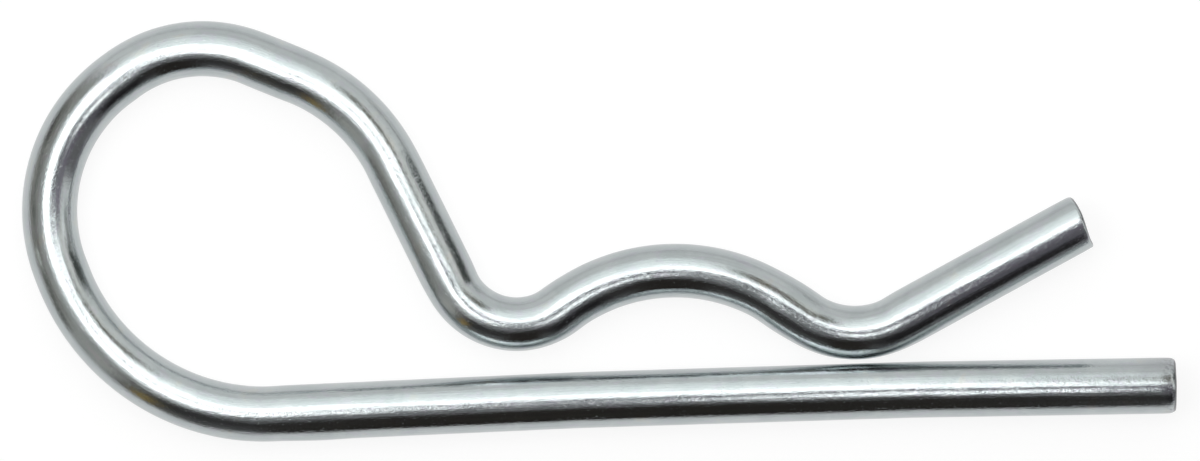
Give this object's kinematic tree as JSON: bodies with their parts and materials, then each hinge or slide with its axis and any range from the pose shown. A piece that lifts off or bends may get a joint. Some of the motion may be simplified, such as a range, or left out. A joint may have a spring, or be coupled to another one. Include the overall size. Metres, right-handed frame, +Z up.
{
  "type": "hitch r clip pin",
  "caption": "Bright zinc-plated spring wire bent into a clip: a straight leg, a round finger loop and a waved arm that snaps over a shaft.",
  "frame": {"origin": "on the leg's axis straight under the middle of the saddle, which is where the axis of the gripped shaft crosses the leg", "axes": "+X along the leg's seat towards its free end, +Y from the leg towards the arm, +Z up out of the plane the clip lies in and along the gripped shaft"},
  "size_m": [0.0815, 0.03, 0.004],
  "materials": {
    "zinc_plated_wire": "bright zinc plating on drawn spring steel, mirror-like with fine lengthwise draw lines"
  },
  "bodies": {
    "root": {"clip_wire": "zinc_plated_wire"}
  },
  "joints": []
}
